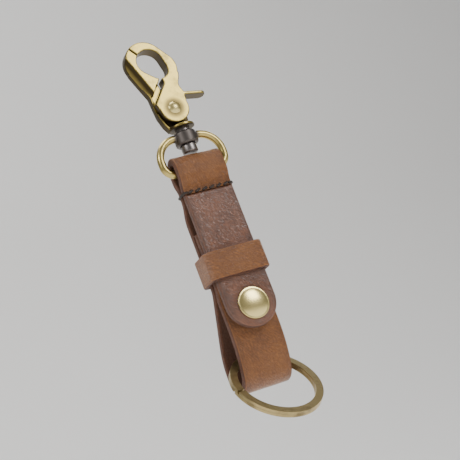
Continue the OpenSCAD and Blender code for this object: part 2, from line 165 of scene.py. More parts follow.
class Board:
    """A material's nodes, from its patterns to its Principled shader."""

    def __init__(self, name: str) -> None:
        """Starts a material.

        Args:
            name: The material's name.
        """
        self.material = bpy.data.materials.new(name)
        self.material.use_nodes = True
        self.tree = self.material.node_tree
        self.shader = self.tree.nodes["Principled BSDF"]

    def feed(self, socket: bpy.types.NodeSocket, value: Any) -> None:
        """Links a signal to an input, or sets a plain number or colour on it."""
        if isinstance(value, Signal):
            self.tree.links.new(value.socket, socket)
        elif isinstance(value, (tuple, list, Vector)):
            want = len(socket.default_value)
            socket.default_value = (*value, 1.0)[:want] if want > len(value) else tuple(value)
        else:
            socket.default_value = value

    def node(self, kind: str, settings: dict[str, Any], inputs: dict[Any, Any]) -> bpy.types.Node:
        """Adds any node.

        Args:
            kind: The node's type.
            settings: Its settings, which are set first.
            inputs: Its sockets by name or number, as numbers, colours or signals.

        Returns:
            The node.
        """
        made = self.tree.nodes.new(kind)
        for key, value in settings.items():
            setattr(made, key, value)
        for key, value in inputs.items():
            self.feed(made.inputs[key], value)
        return made

    def object_place(self) -> Signal:
        """The place on the piece, in metres."""
        return Signal(self, self.node("ShaderNodeTexCoord", {}, {}).outputs["Object"])

    def object_normal(self) -> Signal:
        """The piece's own surface direction."""
        return Signal(self, self.node("ShaderNodeTexCoord", {}, {}).outputs["Normal"])

    def attribute(self, name: str, output: str) -> Signal:
        """One of the mesh's own attributes, as its Vector or Fac."""
        return Signal(self, self.node("ShaderNodeAttribute", {"attribute_name": name}, {}).outputs[output])

    def turned(self, place: Signal, scale: Sequence[float], angle: float = 0.0) -> Signal:
        """A place turned about Z and stretched, for a pattern with a direction."""
        made = self.node(
            "ShaderNodeMapping",
            {"vector_type": "TEXTURE"},
            {"Vector": place, "Rotation": (0.0, 0.0, angle), "Scale": tuple(1.0 / s for s in scale)},
        )
        return Signal(self, made.outputs[0])

    def parts(self, vector: Signal) -> tuple[Signal, Signal, Signal]:
        """A vector's X, Y and Z."""
        made = self.node("ShaderNodeSeparateXYZ", {}, {0: vector})
        return tuple(Signal(self, out) for out in made.outputs)

    def cloud(self, place: Signal, scale: float, detail: float = 3.0, rough: float = 0.5) -> Signal:
        """Soft noise from 0 to 1."""
        made = self.node(
            "ShaderNodeTexNoise", {}, {"Vector": place, "Scale": scale, "Detail": detail, "Roughness": rough}
        )
        return Signal(self, made.outputs["Fac"])

    def cells(self, place: Signal, scale: float) -> Signal:
        """Distance from the borders of a field of cells, for pebbled grain."""
        made = self.node(
            "ShaderNodeTexVoronoi", {"feature": "DISTANCE_TO_EDGE"}, {"Vector": place, "Scale": scale}
        )
        return Signal(self, made.outputs["Distance"])

    def mixed(self, factor: Any, a: Any, b: Any) -> Signal:
        """A colour between two, by a factor from 0 to 1."""
        made = self.node("ShaderNodeMix", {"data_type": "RGBA"}, {0: factor, 6: a, 7: b})
        return Signal(self, made.outputs[2])

    def relief(self, height: Signal, depth: float) -> Signal:
        """A surface direction from a height.

        Args:
            height: The height, from 0 to 1.
            depth: What a height of 1 stands for, in metres.

        Returns:
            The bumped normal.
        """
        made = self.node("ShaderNodeBump", {}, {"Height": height, "Distance": depth, "Strength": 1.0})
        return Signal(self, made.outputs[0])

    def finish(self, **sockets: Any) -> bpy.types.Material:
        """Feeds the shader's sockets, with _ for a space, and returns the material."""
        for key, value in sockets.items():
            self.feed(self.shader.inputs[key.replace("_", " ")], value)
        return self.material


# ---------------------------------------------------------------- finishes


def shaded(colour: Colour, share: float) -> Colour:
    """Makes a colour darker, or lighter where the share is above 1.

    Args:
        colour: The colour.
        share: What each of its channels is multiplied by.

    Returns:
        The new colour.
    """
    return tuple(min(1.0, channel * share) for channel in colour)


@dataclass(frozen=True)
class LeatherFinish:
    """Pebbled vegetable-tanned leather with painted edges, painted shade in its creases, painted highlight on
    its ridges, and a dark flesh side that also carries painted shade. Its pattern follows the unrolled strip.
    """

    name: str
    base: Colour
    deep: Colour
    edge: Colour
    pebble: float = 1.0
    wrinkle: float = 0.0
    gloss: float = 0.40
    coat: float = 0.1
    shine: float = 0.5
    slant: float = 32.0
    middle: float = 0.0
    burnish: float = 0.35
    relief: float = 0.0002

    def make(self) -> bpy.types.Material:
        """Builds the material.

        Returns:
            The leather.
        """
        b = Board(self.name)
        # flat holds the place on the unrolled strip in millimetres, so pattern scales are per millimetre.
        flat = b.attribute("flat", "Vector")
        rim = b.attribute("rim", "Fac")
        broad = b.cloud(flat, 0.11, 2.0, 0.55)
        mottle = b.cloud(flat, 0.55, 4.0, 0.6)
        fine = b.cloud(flat, 4.5, 3.0, 0.6)
        pits = b.cells(b.turned(flat, (1.0, 0.62, 1.0), math.radians(30)), 1.05).ramp(0.0, 0.26)
        small = b.cells(flat, 2.9).ramp(0.0, 0.25)
        lines = b.cloud(b.turned(flat, (3.6, 0.42, 1.0), math.radians(self.slant)), 1.7, 2.0, 0.5)
        crease = lines.ramp(0.54, 0.42)
        inside = b.parts(flat)[2].ramp(-0.9, -1.2)
        tone = (broad * 0.75 + mottle * 0.10 + lines * 0.15).ramp(0.22, 0.62)
        colour = b.mixed(tone, self.deep, self.base)
        colour = b.mixed((1.0 - pits) * (0.30 * self.pebble), colour, shaded(self.deep, 0.6))
        # Painted shade in the wrinkles' creases, and painted highlight on their ridges just below.
        colour = b.mixed(crease * (0.34 * self.wrinkle), colour, shaded(self.deep, 0.6))
        ridge = lines.ramp(0.50, 0.64)
        colour = b.mixed(ridge * (0.38 * self.wrinkle), colour, shaded(self.base, 1.8))
        colour = b.mixed(fine.ramp(0.55, 0.78) * 0.16, colour, shaded(self.base, 1.9))
        side = abs(b.parts(flat)[0] - self.middle)
        colour = b.mixed(side.ramp(6.5, 9.8) * (self.burnish * 0.75), colour, shaded(self.deep, 0.55))
        worn = rim.ramp(0.02, 0.22) * rim.ramp(0.5, 0.25)
        colour = b.mixed(worn * 0.3, colour, shaded(self.base, 1.6))
        # The flesh side, which faces into the folds and against the other layers, is darkened: partly its own
        # darker colour, partly painted shade between the layers.
        colour = b.mixed(inside * 0.85, colour, self.edge)
        painted = b.mixed(mottle.ramp(0.35, 0.7), self.edge, shaded(self.edge, 1.7))
        colour = b.mixed(rim.ramp(0.3, 0.55), colour, painted)
        grain = pits * (0.5 * self.pebble) + small * (0.22 * self.pebble) + fine * 0.10
        height = grain + (ridge - crease) * (0.7 * self.wrinkle)
        rough = self.gloss + (1.0 - tone) * 0.06 + (1.0 - pits) * 0.12 + fine * 0.12
        rough = rough + rim * 0.35 + inside * 0.4
        return b.finish(
            Base_Color=colour, Roughness=rough, Normal=b.relief(height, self.relief),
            Coat_Weight=self.coat, Coat_Roughness=0.30, Specular_IOR_Level=self.shine,
        )


@dataclass(frozen=True)
class BrassFinish:
    """Antique brass: a cloudy patina, painted shade on its side faces, and any darkening a given mask adds.
    """

    name: str
    bright: Colour
    dark: Colour
    rough: float = 0.24
    painted_wall_shade: float = 0.0
    brushed: float = 0.0
    patina: float = 0.35
    grain: float = 1.0
    relief: float = 0.000012
    darkening: Callable[["Board", Signal], Signal] | None = None

    def make(self) -> bpy.types.Material:
        """Builds the material.

        Returns:
            The brass.
        """
        b = Board(self.name)
        place = b.object_place()
        cloudy = b.cloud(place, 190.0, 4.0, 0.62)
        specks = b.cloud(place, 1500.0, 2.0, 0.6)
        patina_and_shade = cloudy.ramp(0.46, 0.74) * self.patina
        # Painted shade: the further a surface turns away from the front and back, the darker it is painted.
        if self.painted_wall_shade:
            _, y, _ = b.parts(b.object_normal())
            patina_and_shade = patina_and_shade.at_least(abs(y).ramp(0.94, 0.50) * self.painted_wall_shade)
        # A given mask darkens more: painted shade on the hook and its gate, a darker boss on the D-ring.
        if self.darkening is not None:
            patina_and_shade = patina_and_shade.at_least(self.darkening(b, place))
        colour = b.mixed(patina_and_shade, self.bright, self.dark)
        colour = b.mixed(specks.ramp(0.62, 0.8) * (0.25 * self.grain), colour, self.dark)
        height = specks * (0.6 * self.grain) + cloudy * 0.4
        if self.brushed:
            lines = b.cloud(b.turned(place, (160.0, 5200.0, 5200.0)), 1.0, 2.0, 0.6)
            height = height + lines * self.brushed
        rough = self.rough + patina_and_shade * 0.16 + specks * (0.08 * self.grain)
        normal = b.relief(height, self.relief)
        return b.finish(Base_Color=colour, Metallic=1.0, Roughness=rough, Normal=normal)


@dataclass(frozen=True)
class ThreadFinish:
    """Waxed thread with the twist of its plies."""

    name: str
    base: Colour
    light: Colour

    def make(self) -> bpy.types.Material:
        """Builds the material.

        Returns:
            The thread.
        """
        b = Board(self.name)
        x, y, _ = b.parts(b.attribute("flat", "Vector"))
        ply = (x * 6.2832 + y * 9.0).math("SINE") * 0.5 + 0.5
        fuzz = b.cloud(b.object_place(), 5200.0, 3.0, 0.7)
        colour = b.mixed((ply * 0.6 + fuzz * 0.4).ramp(0.3, 0.85), self.base, self.light)
        return b.finish(
            Base_Color=colour, Roughness=0.5 + fuzz * 0.2,
            Normal=b.relief(ply * 0.8 + fuzz * 0.4, 0.00008),
        )


@dataclass(frozen=True)
class PaperFinish:
    """The plain pale stage."""

    name: str
    base: Colour

    def make(self) -> bpy.types.Material:
        """Builds the material.

        Returns:
            The stage's surface.
        """
        b = Board(self.name)
        soft = b.cloud(b.object_place(), 2.0, 2.0)
        colour = b.mixed(soft, self.base, shaded(self.base, 0.985))
        return b.finish(Base_Color=colour, Roughness=0.85)


def hook_painted_shade(b: Board, place: Signal) -> Signal:
    """Paints shade into the pocket between the gate's lobe and the flange, and along the body's bottom.

    Args:
        b: The material's board.
        place: The place on the piece, in metres.

    Returns:
        How much painted shade the surface gets, from 0 to 1.
    """
    _, y, z = b.parts(place)
    faces_back = b.parts(b.object_normal())[1].ramp(0.30, 0.75)
    pocket = z.ramp(-0.0170, -0.0215) * y.ramp(-0.0012, 0.0000) * z.ramp(-0.0286, -0.0276)
    pocket = pocket * (1.0 - faces_back)
    under = z.ramp(-0.0281, -0.0286)
    return (pocket * 0.95).at_least(under * 0.9)


def rivet_painted_shade(b: Board, place: Signal) -> Signal:
    """Paints shade as a soft dark ring on the gate round the rivet's head.

    Args:
        b: The material's board.
        place: The place on the piece, in metres.

    Returns:
        How sheltered the surface is, from 0 to 1.
    """
    x, _, z = b.parts(place)
    reach = ((x - RIVET_X) * (x - RIVET_X) + (z - RIVET_Z) * (z - RIVET_Z)).math("SQRT")
    return reach.ramp(0.0052, 0.0024) * 0.72


def boss_darkening(b: Board, place: Signal) -> Signal:
    """Darkens the D-ring's boss and the roots of its wire.

    Args:
        b: The material's board.
        place: The place on the piece, in metres.

    Returns:
        How sheltered the surface is, from 0 to 1.
    """
    x, y, _ = b.parts(place)
    reach = ((x - SWIVEL_X) * (x - SWIVEL_X) + y * y).math("SQRT")
    return reach.ramp(0.0062, 0.0046)


class Metal(Enum):
    """The keychain's metal finishes."""

    # The hook and its gate carry painted shade on their side faces and in their pockets.
    HOOK = BrassFinish("antique_brass", (0.44, 0.335, 0.095), (0.045, 0.032, 0.018), 0.27, painted_wall_shade=0.94,
                       darkening=hook_painted_shade)
    GATE = BrassFinish("antique_brass_gate", (0.44, 0.335, 0.095), (0.055, 0.042, 0.030), 0.27, painted_wall_shade=0.92,
                       darkening=rivet_painted_shade)
    WIRE = BrassFinish("brass_wire", (0.52, 0.405, 0.14), (0.120, 0.104, 0.094), 0.27, patina=0.35,
                       darkening=boss_darkening)
    BRASS = BrassFinish("pressed_brass", (0.66, 0.55, 0.28), (0.20, 0.15, 0.08), 0.28, patina=0.5)
    RIVET = BrassFinish("rivet_brass", (0.78, 0.64, 0.27), (0.34, 0.26, 0.11), 0.30, patina=0.2)
    GUN = BrassFinish("dark_bronze", (0.250, 0.225, 0.212), (0.100, 0.086, 0.078), 0.31, patina=0.6)
    CAP = BrassFinish("polished_brass_cap", (0.80, 0.65, 0.27), (0.52, 0.41, 0.17), 0.24, patina=0.15,
                      grain=0.2)
    RING = BrassFinish("brushed_brass_ring", (0.44, 0.34, 0.16), (0.10, 0.07, 0.035), 0.33, brushed=0.8,
                       patina=0.6)
    SPRING = BrassFinish("spring_steel", (0.55, 0.55, 0.56), (0.25, 0.24, 0.23), 0.3, patina=0.3)


class Soft(Enum):
    """The keychain's leather and thread. The leather comes as two colour copies of one leather, and the
    difference between them is painted light.
    """

    # Painted light: this tan copy is the leather as the light makes it look on the loop, the keeper and the
    # under-strap.
    TAN = LeatherFinish("leather_tan_in_light", (0.300, 0.106, 0.019), (0.140, 0.044, 0.008), (0.085, 0.026, 0.009),
                        pebble=1.0, wrinkle=0.7, gloss=0.30, coat=0.05, shine=0.7)
    # Painted light: this red-brown copy is the same leather as it looks on the front and the tongue, which
    # face the key light and take its sheen.
    RED_BROWN_IN_LIGHT = LeatherFinish("leather_red_brown_in_light", (0.215, 0.070, 0.024), (0.098, 0.030, 0.010),
                        (0.090, 0.027, 0.009), pebble=0.22, wrinkle=0.9, gloss=0.25, coat=0.10, shine=1.0,
                        slant=43.0, middle=FRONT_PATTERN, burnish=0.7)
    THREAD = ThreadFinish("waxed_thread", (0.014, 0.008, 0.005), (0.045, 0.026, 0.017))


# ---------------------------------------------------------------- meshes


@dataclass
class Station:
    """One place along a swept strip."""

    at: Vector
    across: Vector
    out: Vector
    along: float
    wide: float = 1.0
    thick: float = 1.0


@dataclass(frozen=True)
class Corner:
    """One point of a section: across, outwards, and how much of it is painted edge."""

    a: float
    b: float
    rim: float


def strap_section(width: float, thick: float, radius: float, steps: int = 4, faces: int = 12) -> list[Corner]:
    """A strap's section with rounded edges.

    Args:
        width: Its width.
        thick: Its thickness.
        radius: The radius of its edges.
        steps: Steps in each rounded edge.
        faces: Steps across each face.

    Returns:
        The section's points in order.
    """
    w, t = width / 2, thick / 2
    points: list[Corner] = []
    for side, (cx, cy) in enumerate(((w - radius, t - radius), (-w + radius, t - radius),
                                     (-w + radius, -t + radius), (w - radius, -t + radius))):
        for k in range(steps + 1):
            turn = k / steps
            angle = math.radians(90 * (side + turn))
            rim = 1 - turn if side % 2 == 0 else turn
            points.append(Corner(cx + radius * math.cos(angle), cy + radius * math.sin(angle), rim))
        if side in (0, 2):
            sign = 1 if side == 0 else -1
            for k in range(1, faces):
                points.append(Corner(sign * (w - radius) * (1 - 2 * k / faces), sign * t, 0.0))
    return points


def round_section(radius: float, steps: int = 10) -> list[Corner]:
    """A thread's section."""
    turns = [2 * math.pi * k / steps for k in range(steps)]
    return [Corner(radius * math.cos(turn), radius * math.sin(turn), 0.0) for turn in turns]


class MeshShop:
    """Turns stations, outlines and profiles into finished pieces."""

    @staticmethod
    def finish(
        bm: bmesh.types.BMesh, name: str, material: bpy.types.Material, body: str | None = None
    ) -> bpy.types.Object:
        """Makes the object, smooth shaded and with outward faces.

        Args:
            bm: The mesh, in metres.
            name: The piece's name.
            material: Its finish.
            body: The body it rides on, unless it is blended later.

        Returns:
            The piece.
        """
        bmesh.ops.recalc_face_normals(bm, faces=bm.faces)
        mesh = bpy.data.meshes.new(name)
        bm.to_mesh(mesh)
        bm.free()
        mesh.shade_smooth()
        mesh.set_sharp_from_angle(angle=math.radians(50))
        mesh.materials.append(material)
        made = bpy.data.objects.new(name, mesh)
        bpy.context.scene.collection.objects.link(made)
        if body is not None:
            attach(made, body)
        LOG.info("piece %s: %d faces", name, len(mesh.polygons))
        return made

    @staticmethod
    def sweep(stations: Sequence[Station], section: Sequence[Corner]) -> bmesh.types.BMesh:
        """Extrudes a section from station to station.

        Args:
            stations: The places along the strip, in millimetres.
            section: The section's points.

        Returns:
            The mesh in metres, with the attributes flat and rim.
        """
        bm = bmesh.new()
        flat = bm.verts.layers.float_vector.new("flat")
        rim = bm.verts.layers.float.new("rim")
        ring = bmesh.ops.create_circle(bm, segments=len(section), radius=1.0)["verts"]

        def place(row: Sequence[bmesh.types.BMVert], s: Station) -> None:
            """Puts a row of vertices on a station."""
            for vert, corner in zip(row, section):
                vert.co = (s.at + s.across * (corner.a * s.wide) + s.out * (corner.b * s.thick)) * MM
                vert[flat] = Vector((corner.a * s.wide, s.along, corner.b * s.thick))
                vert[rim] = corner.rim

        place(ring, stations[0])
        first = ring
        for s in stations[1:]:
            count = len(ring)
            edges = [bm.edges.get((ring[i], ring[(i + 1) % count])) for i in range(count)]
            made = bmesh.ops.extrude_edge_only(bm, edges=edges)["geom"]
            new = {g for g in made if isinstance(g, bmesh.types.BMVert)}
            ring = [next(e.other_vert(v) for e in v.link_edges if e.other_vert(v) in new) for v in ring]
            place(ring, s)
        count = len(first)
        ends = [[bm.edges.get((row[i], row[(i + 1) % count])) for i in range(count)] for row in (first, ring)]
        for loop in ends:
            bmesh.ops.contextual_create(bm, geom=loop)
        return bm

    @staticmethod
    def lathe(
        profile: Sequence[tuple[float, float]], centre: Vector, axis: Vector, steps: int = 96
    ) -> bmesh.types.BMesh:
        """Spins a profile about an axis.

        Args:
            profile: Radius and height along the axis, in millimetres.
            centre: A point on the axis, in millimetres.
            axis: The axis.
            steps: Steps in the turn.

        Returns:
            The mesh in metres.
        """
        bm = bmesh.new()
        side = axis.orthogonal().normalized()
        verts = [bm.verts.new((centre + side * r + axis * h) * MM) for r, h in profile]
        edges = [bm.edges.new(pair) for pair in zip(verts, verts[1:])]
        bmesh.ops.spin(bm, geom=verts + edges, cent=centre * MM, axis=axis, angle=2 * math.pi, steps=steps,
                       use_merge=True)
        bmesh.ops.remove_doubles(bm, verts=bm.verts, dist=1e-7)
        return bm


@dataclass
class StripPath:
    """A path in the strap's side view that is drawn by straight runs and bends."""

    at: Vector
    heading: float
    step: float = 1.0
    along: float = 0.0
    stations: list[Station] = field(default_factory=list)

    def mark(self) -> None:
        """Adds a station where the path stands."""
        a = math.radians(self.heading)
        out = Vector((0, -math.sin(a), math.cos(a)))
        self.stations.append(Station(self.at.copy(), Vector((1, 0, 0)), out, self.along))

    def run(self, length: float) -> "StripPath":
        """Goes straight on for a length."""
        count = max(1, math.ceil(length / self.step))
        for _ in range(count):
            a = math.radians(self.heading)
            self.at = self.at + Vector((0, math.cos(a), math.sin(a))) * (length / count)
            self.along += length / count
            self.mark()
        return self

    def bend(self, radius: float, angle: float) -> "StripPath":
        """Bends to the right by an angle in degrees, or to the left where it is negative."""
        count = max(2, math.ceil(abs(angle) / 5))
        for _ in range(count):
            part = angle / count
            chord = 2 * radius * math.sin(math.radians(abs(part)) / 2)
            a = math.radians(self.heading - part / 2)
            self.at = self.at + Vector((0, math.cos(a), math.sin(a))) * chord
            self.heading -= part
            self.along += chord
            self.mark()
        return self

    def shift(self, offset: float, length: float) -> "StripPath":
        """Moves over to the left by an offset in two equal bends."""
        angle = 2 * math.degrees(math.atan(offset / length))
        radius = length / (2 * math.sin(math.radians(abs(angle))))
        return self.bend(radius, -angle).bend(radius, angle)

    def wide_shift(self, offset: float, length: float, r1: float, r2: float) -> "StripPath":
        """Moves over to the left by a large offset: a bend, a straight and a bend back."""
        r = r1 + r2
        over = offset - r
        run = math.sqrt(length * length + over * over - r * r)
        angle = math.degrees(math.atan2(r * length + run * over, run * length - r * over))
        return self.bend(r1, -angle).run(run).bend(r2, angle)


# ---------------------------------------------------------------- the keychain


@dataclass(frozen=True)
class Plan:
    """Levels and sizes that the pieces share, in millimetres. Levels run down from the swivel."""

    swivel: Vector = field(default_factory=lambda: Vector((3.7, 0.0, -29.8)))
    strap_w: float = 20.0
    leather_t: float = 2.8
    fold_top_r: float = 3.2
    fold_top_z: float = -14.1
    stitch_z: float = -24.6
    keeper_top: float = -48.8
    keeper_bottom: float = -59.6
    hinge_z: float = -60.3
    snap_z: float = -71.0
    snap_x: float = 0.4
    curve_z: float = -78.3
    tuck_z: float = -40.0
    front_y: float = -1.6
    tucked_y: float = 1.35
    back_y: float = 4.75
    under_y: float = 3.05
    slow_r: float = 40.0
    slow_angle: float = 24.0
    fold_r: float = 6.6

    @property
    def front_face(self) -> float:
        """Depth of the front leg's outer face."""
        return self.front_y - self.leather_t / 2

    @property
    def loop_y(self) -> float:
        """Depth of the back leg where it meets the bottom fold."""
        slow = math.radians(self.slow_angle)
        return self.under_y + self.fold_r * (1 + math.cos(slow)) + self.slow_r * (1 - math.cos(slow))

    @property
    def fold_z(self) -> float:
        """Level of the bottom fold's centre."""
        return self.curve_z + (self.fold_r - self.slow_r) * math.sin(math.radians(self.slow_angle))

    def placed(self, x: float, y: float, z: float) -> Vector:
        """A place given from the swivel, in the keychain's frame."""
        return self.swivel + Vector((x, y, z))


@dataclass
class Strap:
    """The folded leather strap and its front tongue."""

    plan: Plan
    edge_r: float = 0.75
    tip_drop: float = 1.2
    seam_drop: float = 0.55
    shoulder: float = 3.6
    seam_run: float = 0.8
    below_seam: float = 1.6
    back_shift: float = 10.5
    back_bend_r: float = 7.0
    back_slow_r: float = 21.0
    snap_flat: float = 3.6
    wave: float = 0.05
    front_rows: int = 40
    front_columns: int = 12
    front_wave: float = 0.10
    cap_dip: float = 0.16
    cap_dip_r: float = 5.6
    cap_dip_w: float = 1.6

    def path(self) -> list[Station]:
        """The strip from the stitches over the bar, down the back, round the fold and up to its end."""
        p = self.plan
        over = p.fold_top_r + p.front_y
        rise = p.fold_top_z - self.shoulder - p.stitch_z - self.seam_run
        flat_top = p.snap_z + self.snap_flat
        way = StripPath(p.placed(0, p.front_y, p.stitch_z - self.seam_drop), 90.0)
        way.mark()
        way.run(self.seam_run + self.seam_drop).shift(over, rise).run(self.shoulder)
        way.bend(p.fold_top_r, 180).run(self.shoulder).shift(-over, rise)
        way.run(self.below_seam).shift(p.back_y + p.front_y, self.back_shift)
        way.run(p.stitch_z - self.seam_run - self.back_shift - p.hinge_z)
        way.wide_shift(p.loop_y - p.back_y, p.hinge_z - p.fold_z, self.back_bend_r, self.back_slow_r)
        way.bend(p.fold_r, 180 - p.slow_angle).bend(p.slow_r, p.slow_angle)
        way.run(flat_top - p.curve_z).shift(p.under_y - p.tucked_y, p.hinge_z - flat_top)
        way.run(p.tuck_z - p.hinge_z)
        return way.stations

    def build_strip(self) -> None:
        """Makes the strap's long strip."""
        p = self.plan
        section = strap_section(p.strap_w, p.leather_t, self.edge_r, faces=14)
        bm = MeshShop.sweep(self.path(), section)
        flat = bm.verts.layers.float_vector["flat"]
        rim = bm.verts.layers.float["rim"]
        for v in bm.verts:
            x, s, d = v[flat]
            if abs(d) > p.leather_t / 2 - 0.01:
                wave = noise.noise(Vector((x * 0.16, s * 0.13, 3.0 * (d > 0)))) * self.wave
                v.co += v.normal * wave * MM * (1 - v[rim])
        strip = MeshShop.finish(bm, "strap_leather", Soft.TAN.value.make(), "strap")
        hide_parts("strap")

    def outline(self) -> list[tuple[float, float]]:
        """The front leather's outline, from the stitches down to the round tip."""
        p = self.plan
        half = p.strap_w / 2
        top = p.stitch_z - self.seam_drop - 0.1
        tip = p.snap_z + self.tip_drop
        turns = [math.radians(a) for a in range(0, -181, -5)]
        arc = [(half * math.cos(a), tip + half * math.sin(a)) for a in turns]
        return [(-half, top), (half, top), *arc]

    def build_front(self) -> None:
        """Makes the front leather, which bends below the keeper when the tongue is lifted."""
        p = self.plan
        bm = bmesh.new()
        ring = [bm.verts.new(p.placed(x, p.front_face, z) * MM) for x, z in self.outline()]
        face = bmesh.ops.contextual_create(bm, geom=ring)["faces"]
        made = bmesh.ops.extrude_face_region(bm, geom=face)["geom"]
        back = [g for g in made if isinstance(g, bmesh.types.BMVert)]
        bmesh.ops.translate(bm, verts=back, vec=Vector((0, p.leather_t * MM, 0)))
        lips = [e for e in bm.edges if abs(e.verts[0].co.y - e.verts[1].co.y) < 1e-9]
        bmesh.ops.bevel(bm, geom=lips, offset=self.edge_r * MM, offset_type="OFFSET", segments=4, profile=0.5,
                        affect="EDGES", material=-1, clamp_overlap=True)
        low, high = p.snap_z - 9.0, p.stitch_z
        for k in range(1, self.front_rows):
            level = p.placed(0, 0, high + (low - high) * k / self.front_rows) * MM
            bmesh.ops.bisect_plane(bm, geom=bm.verts[:] + bm.edges[:] + bm.faces[:], plane_co=level,
                                   plane_no=Vector((0, 0, 1)))
        for k in range(1, self.front_columns):
            line = p.placed(-p.strap_w / 2 + p.strap_w * k / self.front_columns, 0, 0) * MM
            bmesh.ops.bisect_plane(bm, geom=bm.verts[:] + bm.edges[:] + bm.faces[:], plane_co=line,
                                   plane_no=Vector((1, 0, 0)))
        flat = bm.verts.layers.float_vector.new("flat")
        rim = bm.verts.layers.float.new("rim")
        half = p.leather_t / 2
        for v in bm.verts:
            place = v.co / MM - p.swivel
            depth = place.y - p.front_y
            v[flat] = Vector((place.x + FRONT_PATTERN, place.z, -depth))
            v[rim] = min(1.0, max(0.0, (half - abs(depth)) / self.edge_r))
            wave = noise.noise(Vector((place.x * 0.15, place.z * 0.12, 7.0))) * self.front_wave
            cap = math.hypot(place.x - p.snap_x, place.z - p.snap_z)
            reach = (cap - self.cap_dip_r) / self.cap_dip_w
            dip = self.cap_dip * math.exp(-(reach ** 2)) if depth < 0 else 0.0
            v.co.y += (wave * (1 if depth > 0 else 0.8) * 0.5 + dip) * MM
        front = MeshShop.finish(bm, "front_leather", Soft.RED_BROWN_IN_LIGHT.value.make())
        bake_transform(front, "strap", "tongue", start=tuple(p.placed(0, p.front_face, p.hinge_z + 0.4) * MM),
                 end=tuple(p.placed(0, p.front_face, p.hinge_z - 3.0) * MM))
        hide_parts("tongue")

    def build(self) -> None:
        """Makes the strap's pieces."""
        self.build_strip()
        self.build_front()


@dataclass
class Stitching:
    """The thread below the D-ring and in the keeper's joint."""

    plan: Plan
    count: int = 6
    thread_r: float = 0.50
    inset: float = 1.2
    hole_gap: float = 0.62
    slant_down: float = 0.36
    slant_up: float = 0.30
    lift: float = 0.34
    sunk: float = 0.45

    def thread(self, points: Sequence[Vector]) -> bmesh.types.BMesh:
        """Makes one length of thread through some places.

        Args:
            points: The places, in millimetres.

        Returns:
            The mesh in metres.
        """
        stations: list[Station] = []
        along = 0.0
        for i, at in enumerate(points):
            ahead = points[min(i + 1, len(points) - 1)] - points[max(i - 1, 0)]
            side = ahead.cross(Vector((0.0, 0.3, 1.0))).normalized()
            if i:
                along += (at - points[i - 1]).length
            end = i in (0, len(points) - 1)
            size = 0.55 if end else 1.0
            stations.append(Station(at, side, side.cross(ahead).normalized(), along, size, size))
        bm = MeshShop.sweep(stations, round_section(self.thread_r))
        flat = bm.verts.layers.float_vector["flat"]
        for v in bm.verts:
            x, s, d = v[flat]
            v[flat] = Vector((math.atan2(d, x) / (2 * math.pi), s, 0.0))
        return bm

    def stitch(self, a: Vector, b: Vector, out: Vector, lift: float) -> list[Vector]:
        """The arc of one stitch between two holes."""
        points = []
        for k in range(9):
            t = k / 8
            rise = math.sin(math.pi * t) ** 0.5 * lift - self.sunk * (k in (0, 8))
            points.append(a.lerp(b, t) + out * rise)
        return points

    def build(self) -> None:
        """Makes the rows of stitches, front and back, and their turns round the edges."""
        p = self.plan
        pitch = (p.strap_w - 2 * self.inset) / self.count
        face = p.front_face
        whole = bmesh.new()
        holes = [(i - self.count / 2) * pitch for i in range(self.count + 1)]
        for side in (-1, 1):
            out = Vector((0, side, 0))
            depth = abs(face) + 0.02
            for x0, x1 in zip(holes, holes[1:]):
                a = p.placed(x0 + self.hole_gap, side * depth, p.stitch_z - self.slant_down)
                b = p.placed(x1 - self.hole_gap, side * depth, p.stitch_z + self.slant_up)
                self.join(whole, self.thread(self.stitch(a, b, out, self.lift)))
        for side in (-1, 1):
            x = side * (p.strap_w / 2 - self.inset)
            edge = side * (p.strap_w / 2 + 0.2)
            depth = abs(face) + 0.15
            turn = [
                (x - side * 0.2, -depth + 0.5), (x, -depth), (edge - side * 0.6, -depth - 0.05),
                (edge, -depth + 0.7), (edge + side * 0.12, 0.0), (edge, depth - 0.7),
                (edge - side * 0.6, depth + 0.05), (x, depth), (x - side * 0.2, depth - 0.5),
            ]
            self.join(whole, self.thread([p.placed(px, py, p.stitch_z) for px, py in turn]))
        row = MeshShop.finish(whole, "strap_stitches", Soft.THREAD.value.make(), "strap")
        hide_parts("stitching")

    @staticmethod
    def join(whole: bmesh.types.BMesh, part: bmesh.types.BMesh) -> None:
        """Adds a part's mesh to a whole."""
        spare = bpy.data.meshes.new("spare")
        part.to_mesh(spare)
        part.free()
        whole.from_mesh(spare)
        bpy.data.meshes.remove(spare)


